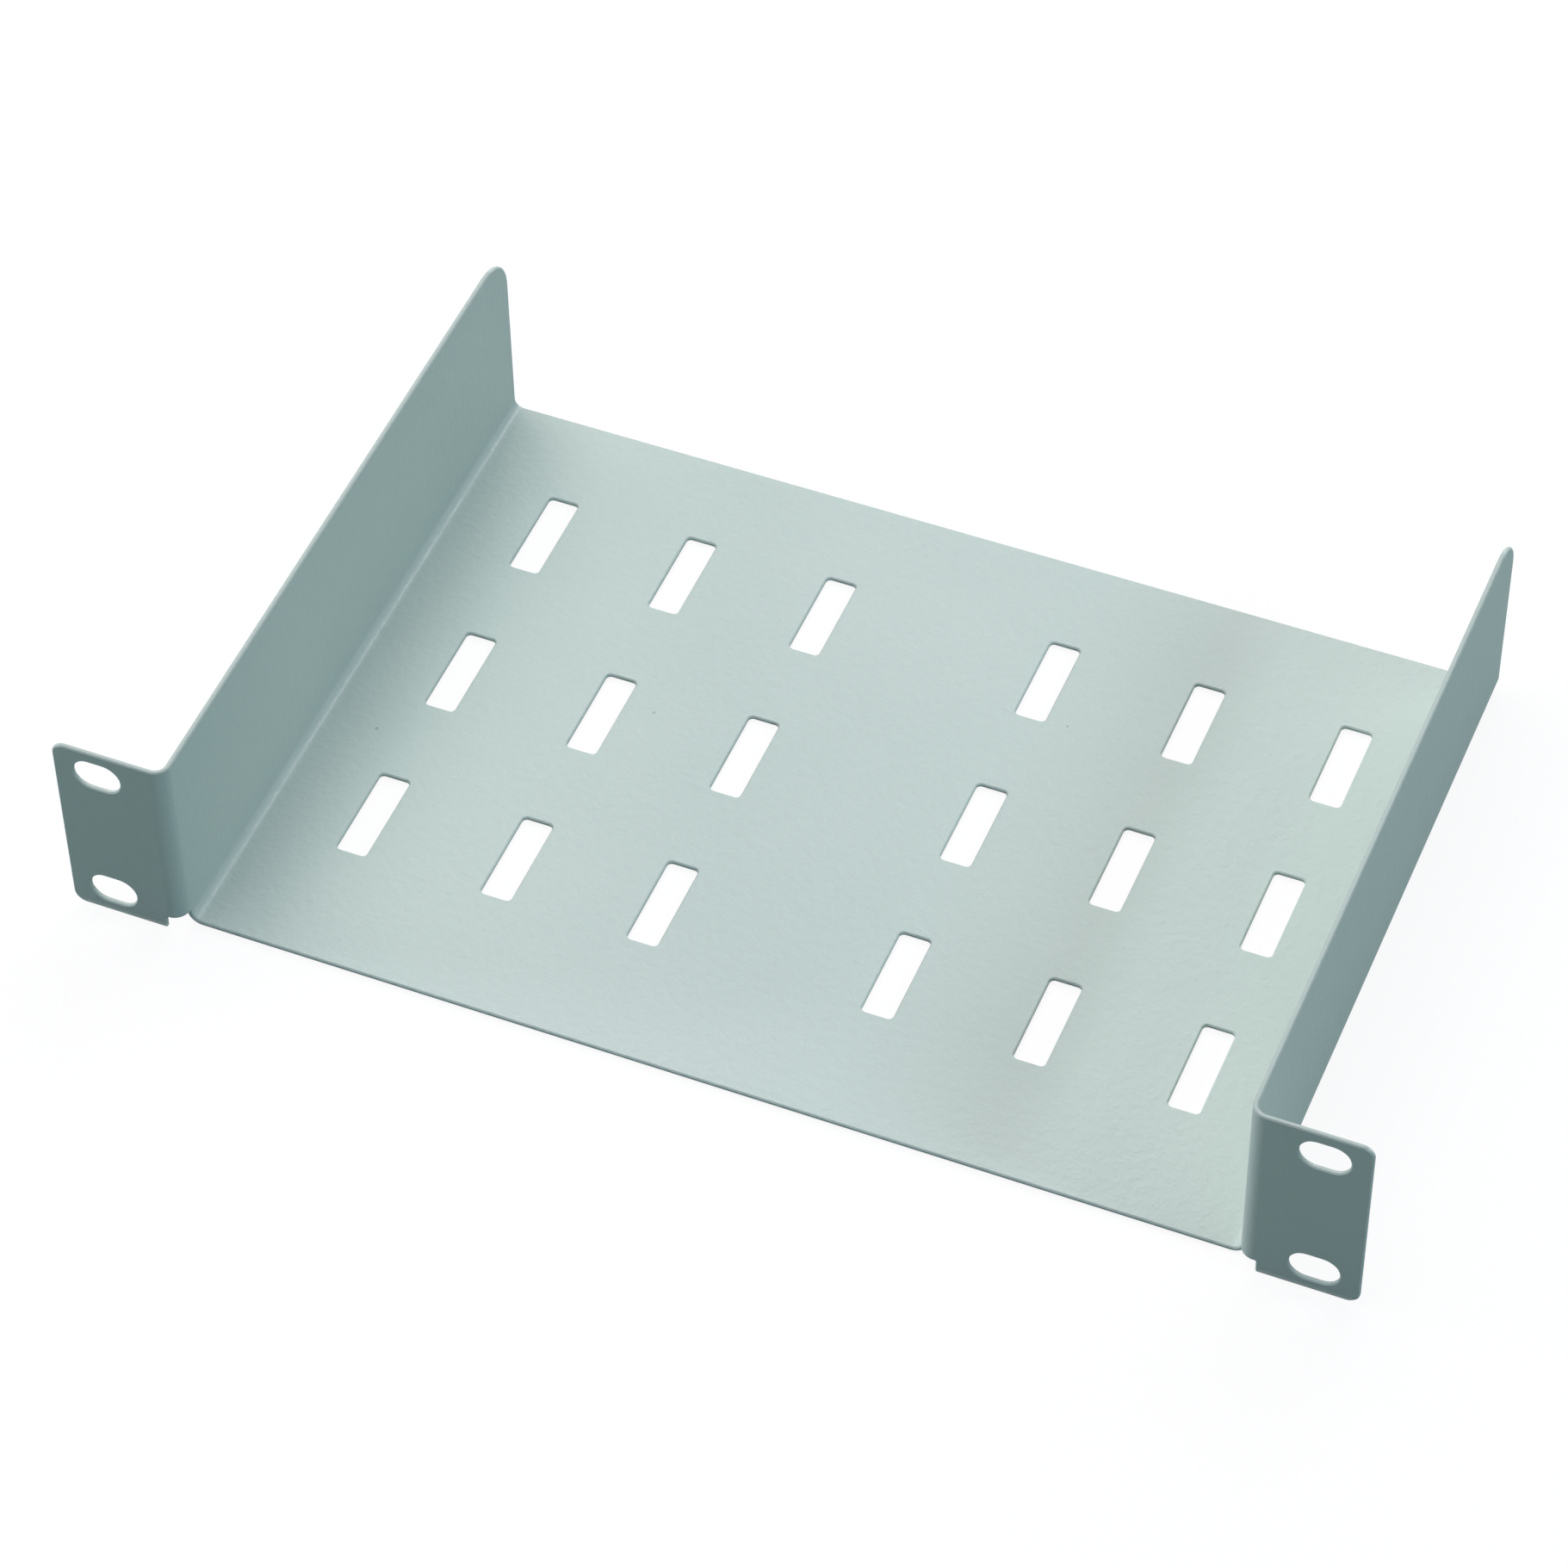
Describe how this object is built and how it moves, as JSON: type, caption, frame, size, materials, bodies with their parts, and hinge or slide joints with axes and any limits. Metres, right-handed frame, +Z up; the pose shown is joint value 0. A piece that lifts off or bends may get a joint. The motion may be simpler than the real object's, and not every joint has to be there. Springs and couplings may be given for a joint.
{
  "type": "rack shelf",
  "caption": "Shallow one-unit rack shelf folded from one light grey sheet: slotted floor, low side walls and front ears with oblong mounting holes.",
  "frame": {"origin": "middle of the four mounting holes, on the back faces of the ears, the plane that seats on the rack's rails", "axes": "+X to the right seen from the front, +Y back into the rack, +Z up"},
  "size_m": [0.254, 0.1513, 0.0441],
  "materials": {
    "powder_coat": "light grey powder coat with a fine orange-peel grain, satin"
  },
  "bodies": {
    "root": {"folded_shelf": "powder_coat"}
  },
  "joints": []
}
